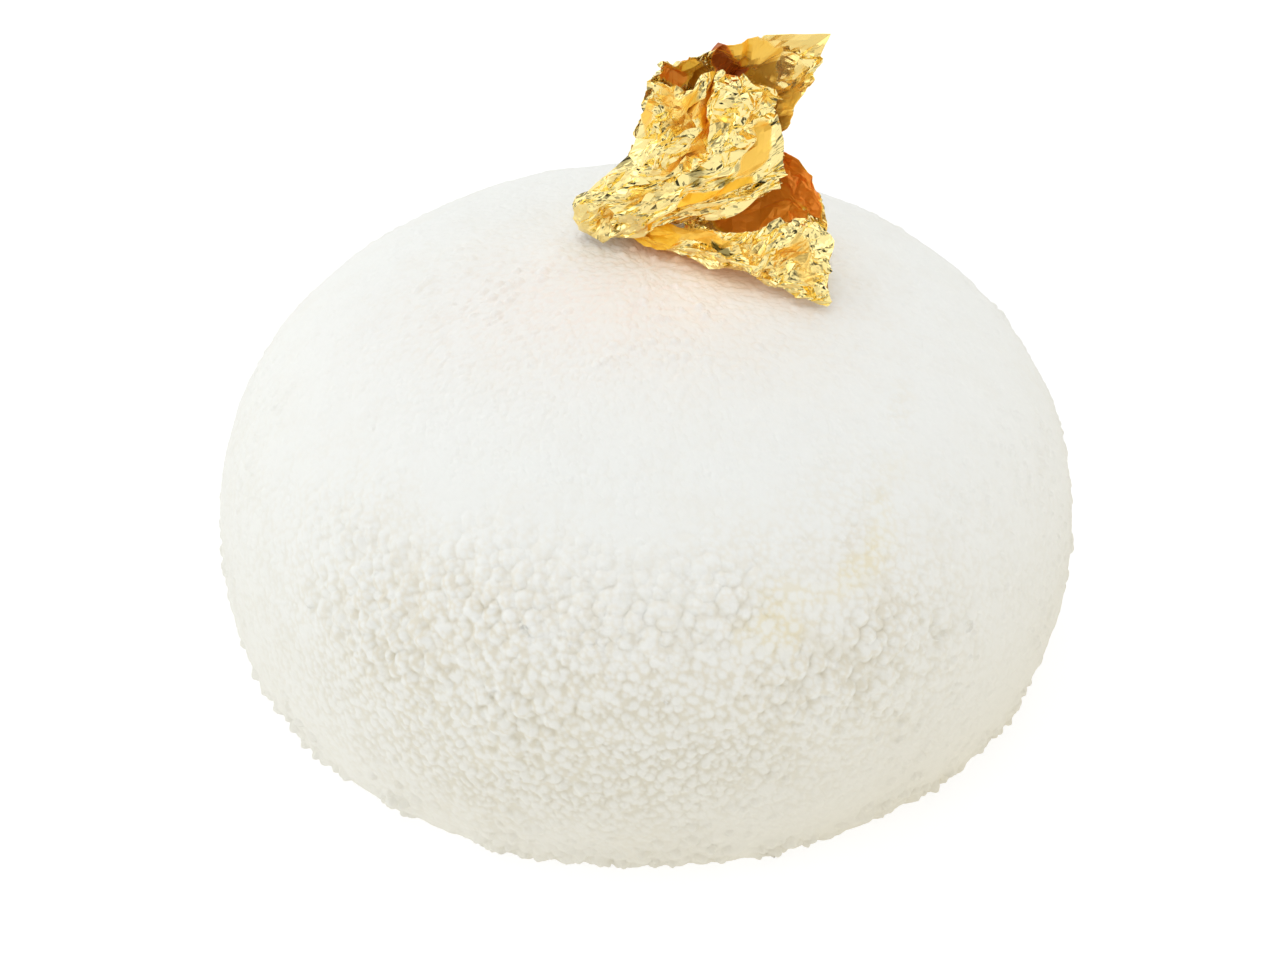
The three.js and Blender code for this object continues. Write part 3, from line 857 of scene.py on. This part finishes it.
def make_leaf(sizes, material):
    """The gold leaf: its lobes joined in one piece, and given a thickness."""
    facet = sizes.facet / MM
    parts = [foil_lobe(curves, marks, (facet * stretch[0], facet * stretch[1]), 10 * k + 1)
             for k, (curves, marks, stretch) in enumerate(LOBES)]
    starts = np.cumsum([0] + [len(part[0]) for part in parts[:-1]])
    points = np.concatenate([part[0] for part in parts])
    faces = np.concatenate([part[1] + start for part, start in zip(parts, starts)])
    piece = new_mesh("crumpled_gold_leaf", points, faces, smooth=False)
    # The painted reflection and shade of every point, which the gold material reads.
    paint(piece, "warm", np.concatenate([part[2] for part in parts]))
    wall = piece.modifiers.new("leaf_thickness", "SOLIDIFY")
    wall.thickness = sizes.thickness
    wall.offset = 0
    finish_piece(piece, material, "gold_leaf")


class TORTE_OT_coat(bpy.types.Operator):
    """Make the cake with its velvet coat"""
    bl_idname = "torte.coat"
    bl_label = "Velvet coat"

    def execute(self, context):
        sizes = context.scene.torte_cake
        material = velvet_material(sizes)
        make_coat(sizes, material)
        return {"FINISHED"}


class TORTE_OT_leaf(bpy.types.Operator):
    """Make the crumpled gold leaf"""
    bl_idname = "torte.leaf"
    bl_label = "Gold leaf"

    def execute(self, context):
        sizes = context.scene.torte_leaf
        make_leaf(sizes, gold_material(sizes))
        return {"FINISHED"}


def area_light(name, place, target, size, power, colour):
    """A soft square lamp of a size at a place, both in metres, turned towards a target."""
    lamp = bpy.data.lights.new(name, "AREA")
    lamp.size = size
    lamp.energy = power
    lamp.color = colour
    holder = bpy.data.objects.new(name, lamp)
    holder.location = place
    holder.rotation_euler = (Vector(target) - Vector(place)).to_track_quat("-Z", "Y").to_euler()
    bpy.context.scene.collection.objects.link(holder)


def make_camera():
    """A camera whose picture centre lies beside the middle of the widest ring by the pixels that the
    ring is off centre, and whose lens gives the photograph's pixels per millimetre there."""
    tilt = CAMERA_HEIGHT_ANGLE
    toward = Vector((0, math.cos(tilt), -math.sin(tilt)))
    up = Vector((0, math.sin(tilt), math.cos(tilt)))
    right = Vector((1, 0, 0))
    off_x = (PHOTO_SIZE[0] / 2 - WIDEST_RING_PIXEL[0]) / PIXELS_PER_MM
    off_y = (WIDEST_RING_PIXEL[1] - PHOTO_SIZE[1] / 2) / PIXELS_PER_MM
    aim = Vector((0, 0, WIDEST_HEIGHT)) + right * off_x + up * off_y
    data = bpy.data.cameras.new("camera")
    data.sensor_width = SENSOR_WIDTH
    data.lens = SENSOR_WIDTH * PIXELS_PER_MM * CAMERA_DISTANCE / PHOTO_SIZE[0]
    data.clip_start = 0.01
    data.clip_end = 20
    camera = bpy.data.objects.new("camera", data)
    camera.location = (aim - toward * CAMERA_DISTANCE) * MM
    camera.rotation_euler = toward.to_track_quat("-Z", "Y").to_euler()
    bpy.context.scene.collection.objects.link(camera)
    bpy.context.scene.camera = camera


def make_world():
    """A white room with brighter and darker patches, darker behind the camera. The camera itself sees
    plain white."""
    world = bpy.data.worlds.new("white_room")
    world.use_nodes = True
    bpy.context.scene.world = world
    tree = world.node_tree
    tree.nodes.clear()
    direction = add_node(tree, "ShaderNodeTexCoord")
    patches = add_node(tree, "ShaderNodeTexNoise", Vector=direction.outputs["Generated"], Scale=2.4,
                       Detail=1.0)
    dark = add_node(tree, "ShaderNodeMapRange", {"interpolation_type": "SMOOTHSTEP"},
                    Value=patches.outputs["Fac"], From_Min=0.40, From_Max=0.44, To_Min=0.10, To_Max=1.0)
    boxes = add_node(tree, "ShaderNodeMapRange", {"interpolation_type": "SMOOTHSTEP"},
                     Value=patches.outputs["Fac"], From_Min=0.47, From_Max=0.56, To_Min=0.45, To_Max=1.3)
    glow = add_node(tree, "ShaderNodeMath", {"operation": "MULTIPLY"}, i0=dark.outputs["Result"],
                    i1=boxes.outputs["Result"])
    parts = add_node(tree, "ShaderNodeSeparateXYZ", Vector=direction.outputs["Generated"])
    behind = add_node(tree, "ShaderNodeMapRange", {"interpolation_type": "SMOOTHSTEP"},
                      Value=parts.outputs["Y"], From_Min=0.2, From_Max=-0.8, To_Min=1.04, To_Max=0.83)
    glow = add_node(tree, "ShaderNodeMath", {"operation": "MULTIPLY"}, i0=glow.outputs["Value"],
                    i1=behind.outputs["Result"])
    path = add_node(tree, "ShaderNodeLightPath")
    seen = add_node(tree, "ShaderNodeMix", Factor=path.outputs["Is Camera Ray"], A=glow.outputs["Value"],
                    B=1.0)
    light = add_node(tree, "ShaderNodeBackground", Color=(1, 1, 1, 1), Strength=seen.outputs[0])
    add_node(tree, "ShaderNodeOutputWorld", Surface=light.outputs["Background"])


def make_floor():
    """A grey floor that glows white, a little more towards the camera than towards the torte."""
    side = FLOOR_SIDE
    corners = np.array([[-side, -side, 0], [side, -side, 0], [side, side, 0], [-side, side, 0]]) / 2
    floor = new_mesh("floor", corners, np.array([[0, 1, 2, 3]]))
    material, tree = new_material("white_acrylic_floor")
    sheet = add_node(tree, "ShaderNodeBsdfPrincipled", Base_Color=(0.35, 0.35, 0.35, 1), Roughness=0.6)
    sheet.inputs["Emission Color"].default_value = (1, 1, 1, 1)
    path = add_node(tree, "ShaderNodeLightPath")
    glow = add_node(tree, "ShaderNodeMapRange", Value=path.outputs["Is Camera Ray"], To_Min=0.69,
                    To_Max=0.72)
    tree.links.new(glow.outputs["Result"], sheet.inputs["Emission Strength"])
    add_node(tree, "ShaderNodeOutputMaterial", Surface=sheet.outputs["BSDF"])
    floor.data.materials.append(material)


def make_gold_glow():
    """A small orange lamp just in front of the leaf, for the light that the gold throws on the crown.
    It casts no shadow and isn't seen."""
    glow = bpy.data.lights.new("gold_glow", "POINT")
    glow.energy = GOLD_GLOW_POWER
    glow.color = (1, 0.62, 0.3)
    glow.shadow_soft_size = 0.003
    glow.use_shadow = False
    holder = bpy.data.objects.new("gold_glow", glow)
    holder.location = GOLD_GLOW_PLACE
    holder.visible_camera = False
    holder.visible_glossy = False
    bpy.context.scene.collection.objects.link(holder)


class TORTE_OT_stage(bpy.types.Operator):
    """Make the floor, the lights and the camera"""
    bl_idname = "torte.stage"
    bl_label = "Stage"

    def execute(self, context):
        context.scene.view_settings.view_transform = "Standard"
        make_world()
        make_camera()
        make_floor()
        for name, place, size, power, colour in LAMPS:
            area_light(name, place, LAMP_TARGET, size, power, colour)
        make_gold_glow()
        return {"FINISHED"}


class TORTE_PT_panel(bpy.types.Panel):
    """Lists the torte's pieces and their sizes"""
    bl_label = "Torte"
    bl_idname = "TORTE_PT_panel"
    bl_space_type = "VIEW_3D"
    bl_region_type = "UI"
    bl_category = "Torte"

    def draw(self, context):
        for group, operator in (("torte_cake", "torte.coat"), ("torte_leaf", "torte.leaf")):
            sizes = getattr(context.scene, group)
            for name in sizes.__annotations__:
                self.layout.prop(sizes, name)
            self.layout.operator(operator)
        self.layout.operator("torte.stage")


CLASSES = (CakeSizes, LeafSizes, TORTE_OT_coat, TORTE_OT_leaf, TORTE_OT_stage, TORTE_PT_panel)


def register():
    for each in CLASSES:
        bpy.utils.register_class(each)
    bpy.types.Scene.torte_cake = bpy.props.PointerProperty(type=CakeSizes)
    bpy.types.Scene.torte_leaf = bpy.props.PointerProperty(type=LeafSizes)


def unregister():
    del bpy.types.Scene.torte_leaf
    del bpy.types.Scene.torte_cake
    for each in reversed(CLASSES):
        bpy.utils.unregister_class(each)


def main():
    register()
    bpy.ops.torte.coat()
    bpy.ops.torte.leaf()
    bpy.ops.torte.stage()


if __name__ == "__main__":
    main()
